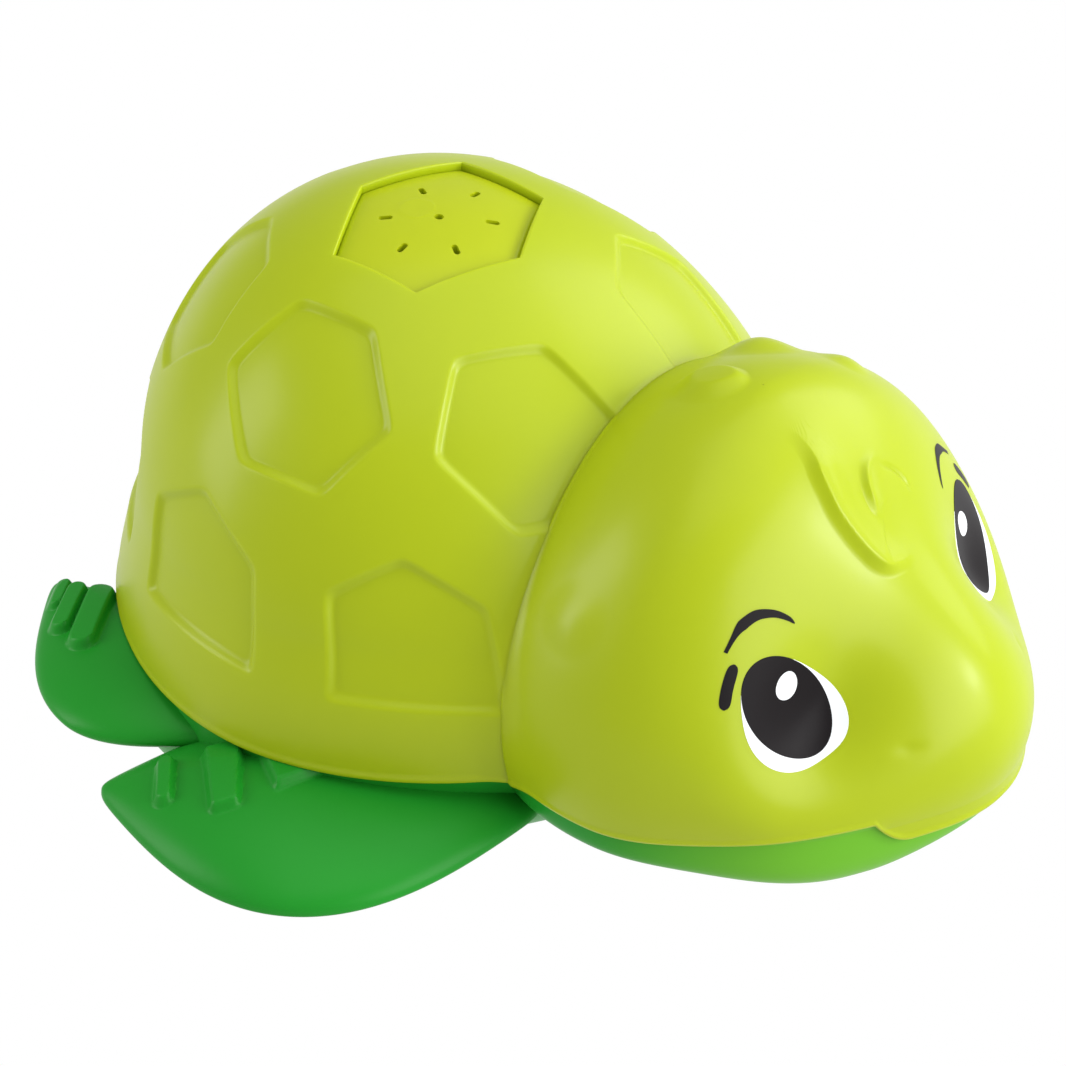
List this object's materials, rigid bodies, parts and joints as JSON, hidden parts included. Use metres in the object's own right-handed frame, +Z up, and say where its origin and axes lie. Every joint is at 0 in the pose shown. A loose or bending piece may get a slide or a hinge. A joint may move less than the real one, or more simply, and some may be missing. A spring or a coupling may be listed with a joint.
{
  "type": "turtle spray bath toy",
  "caption": "Floating turtle bath toy: domed lime shell and head over a green hull with fixed flippers, inner pump feeding a hexagonal spray rose on top.",
  "frame": {"origin": "on the flat belly that the toy rests on, in the mirror plane, below the middle of the shell", "axes": "+Z up, the head points along -Y, the toy's own right side is -X"},
  "size_m": [0.1746, 0.1698, 0.0934],
  "materials": {
    "lime_plastic": "satin gloss moulded plastic, slightly translucent",
    "green_plastic": "satin gloss moulded plastic",
    "pale_plastic": "plain moulded",
    "dark_plastic": "plain moulded",
    "soft_rubber": "matt silicone",
    "steel": "plated",
    "cell_wrap": "satin sleeve",
    "board": "printed circuit laminate"
  },
  "bodies": {
    "toy": {"upper_shell": "lime_plastic", "lower_hull": "green_plastic", "spray_rose": "lime_plastic", "battery_box": "dark_plastic", "cell_1": "cell_wrap", "cell_2": "cell_wrap", "cell_3": "cell_wrap", "contact_plate_1": "steel", "contact_plate_2": "steel", "contact_plate_3": "steel", "contact_plate_4": "steel", "contact_spring_1": "steel", "contact_spring_2": "steel", "contact_spring_3": "steel", "housing_screw_1": "steel", "housing_screw_2": "steel", "housing_screw_3": "steel", "housing_screw_4": "steel", "inlet_grille": "green_plastic", "motor": "steel", "motor_cradle": "dark_plastic", "pump_cover": "pale_plastic", "pump_housing": "pale_plastic", "pump_screw_1": "steel", "pump_screw_2": "steel", "riser_hose": "pale_plastic", "rose_gasket": "soft_rubber", "shaft_seal": "soft_rubber", "spray_chamber": "pale_plastic", "switch_board": "board", "tact_switch": "dark_plastic"},
    "rotor": {"impeller": "pale_plastic", "motor_shaft": "steel"},
    "button": {"power_button": "soft_rubber"},
    "door": {"battery_door": "green_plastic", "door_gasket": "soft_rubber", "door_screw": "steel"}
  },
  "joints": [
    {"name": "impeller_spin", "type": "hinge", "parent": "toy", "child": "rotor", "pos_m": [0, -0.015, 0.01], "axis": [0, 0, 1], "continuous": true},
    {"name": "power_button_press", "type": "slide", "parent": "toy", "child": "button", "axis": [0, 0, 1], "range_m": [0, 0.0008], "stiffness_N_per_m": 800, "springref_m": -0.0005},
    {"name": "battery_door_lift", "type": "slide", "parent": "toy", "child": "door", "axis": [0, 0, -1], "range_m": [0, 0.03]}
  ]
}
